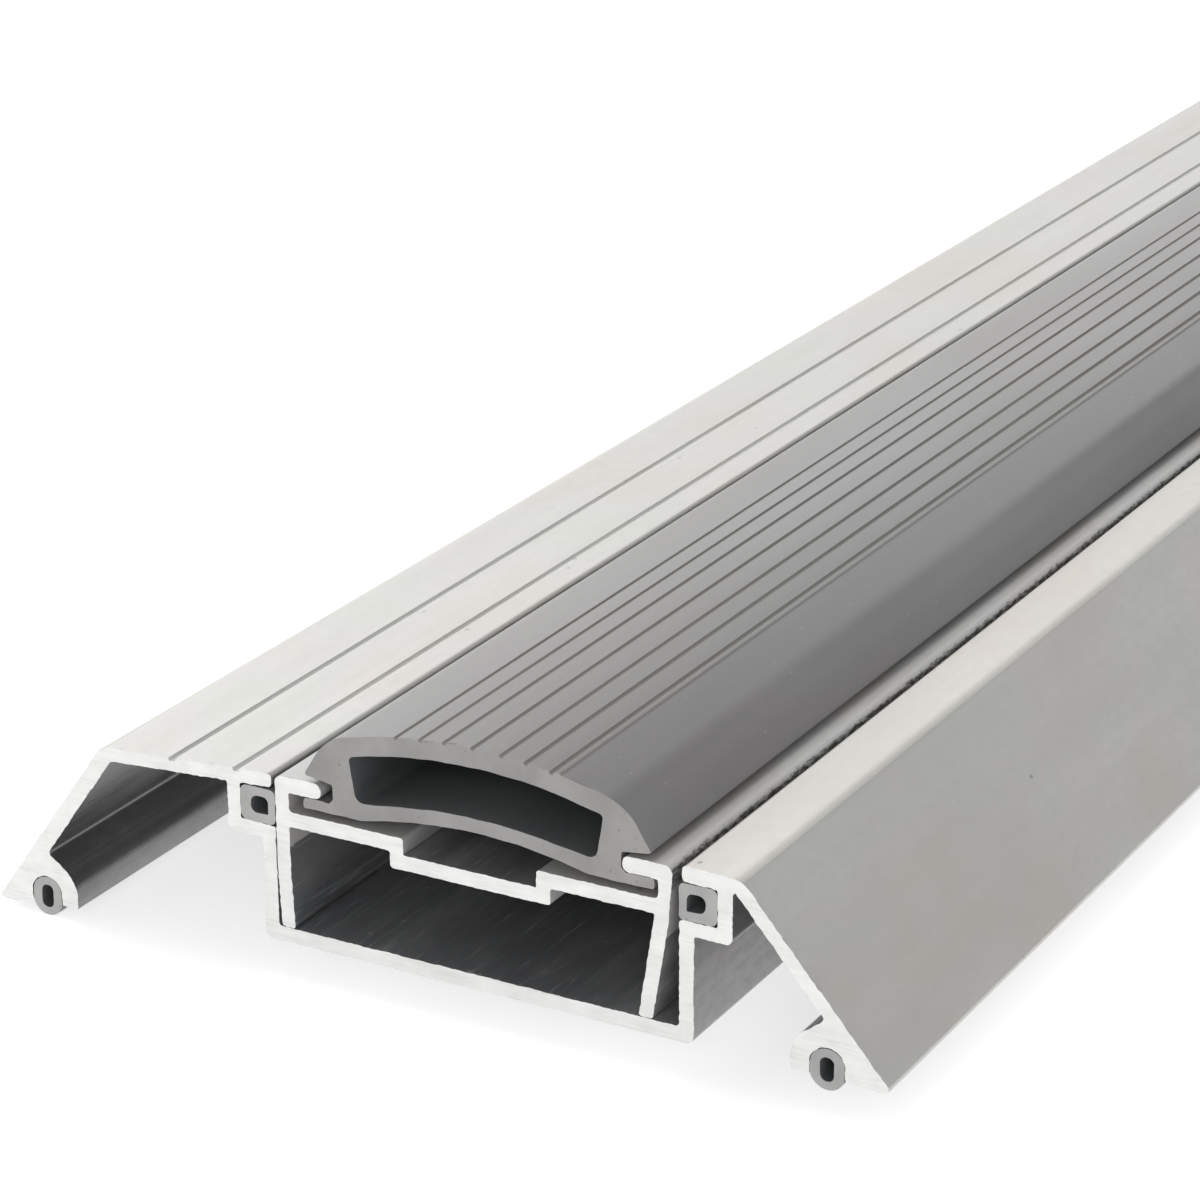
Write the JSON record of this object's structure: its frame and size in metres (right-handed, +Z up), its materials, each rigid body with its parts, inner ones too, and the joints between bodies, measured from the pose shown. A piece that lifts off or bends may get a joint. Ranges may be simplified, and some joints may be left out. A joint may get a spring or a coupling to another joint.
{
  "type": "threshold strip",
  "caption": "Adjustable door threshold: ramped aluminium base strip with a channel, a height-adjustable carrier, a hollow bulb seal and tubular side and foot seals.",
  "frame": {"origin": "middle of the underside of the channel's web, halfway along the strip", "axes": "+Y along the strip, +Z up out of the floor, +X across the strip towards the room side; the weather side with the long deck is -X"},
  "size_m": [0.1256, 1, 0.0363],
  "materials": {
    "base_aluminium": "mill finish, satin, drawn lengthwise",
    "carrier_aluminium": "mill finish, satin, drawn lengthwise",
    "bulb_rubber": "matt grey extruded rubber",
    "tube_rubber": "matt grey extruded rubber",
    "screw_steel": "plain hardened steel",
    "insert_steel": "zinc plated steel"
  },
  "bodies": {
    "base": {"base_frame": "base_aluminium", "side_seal_outer": "tube_rubber", "side_seal_inner": "tube_rubber", "foot_seal_outer": "tube_rubber", "foot_seal_inner": "tube_rubber"},
    "carrier": {"seal_carrier": "carrier_aluminium", "bulb_seal": "bulb_rubber", "thread_insert_1": "insert_steel", "thread_insert_2": "insert_steel", "thread_insert_3": "insert_steel", "thread_insert_4": "insert_steel", "thread_insert_5": "insert_steel"},
    "screw_1": {"jack_screw_1": "screw_steel"},
    "screw_2": {"jack_screw_2": "screw_steel"},
    "screw_3": {"jack_screw_3": "screw_steel"},
    "screw_4": {"jack_screw_4": "screw_steel"},
    "screw_5": {"jack_screw_5": "screw_steel"}
  },
  "joints": [
    {"name": "height_adjust", "type": "slide", "parent": "base", "child": "carrier", "axis": [0, 0, 1], "range_m": [0, 0.003]},
    {"name": "screw_1_turn", "type": "hinge", "parent": "base", "child": "screw_1", "pos_m": [-0.00035, -0.4, 0.01], "axis": [0, 0, 1], "range_deg": [-1085, 0]},
    {"name": "screw_2_turn", "type": "hinge", "parent": "base", "child": "screw_2", "pos_m": [-0.00035, -0.2, 0.01], "axis": [0, 0, 1], "range_deg": [-1085, 0]},
    {"name": "screw_3_turn", "type": "hinge", "parent": "base", "child": "screw_3", "pos_m": [-0.00035, 0, 0.01], "axis": [0, 0, 1], "range_deg": [-1085, 0]},
    {"name": "screw_4_turn", "type": "hinge", "parent": "base", "child": "screw_4", "pos_m": [-0.00035, 0.2, 0.01], "axis": [0, 0, 1], "range_deg": [-1085, 0]},
    {"name": "screw_5_turn", "type": "hinge", "parent": "base", "child": "screw_5", "pos_m": [-0.00035, 0.4, 0.01], "axis": [0, 0, 1], "range_deg": [-1085, 0]}
  ],
  "couplings": [
    {"joint": "screw_1_turn", "follows": "height_adjust", "rad_per_m": -6283.2},
    {"joint": "screw_2_turn", "follows": "height_adjust", "rad_per_m": -6283.2},
    {"joint": "screw_3_turn", "follows": "height_adjust", "rad_per_m": -6283.2},
    {"joint": "screw_4_turn", "follows": "height_adjust", "rad_per_m": -6283.2},
    {"joint": "screw_5_turn", "follows": "height_adjust", "rad_per_m": -6283.2}
  ]
}
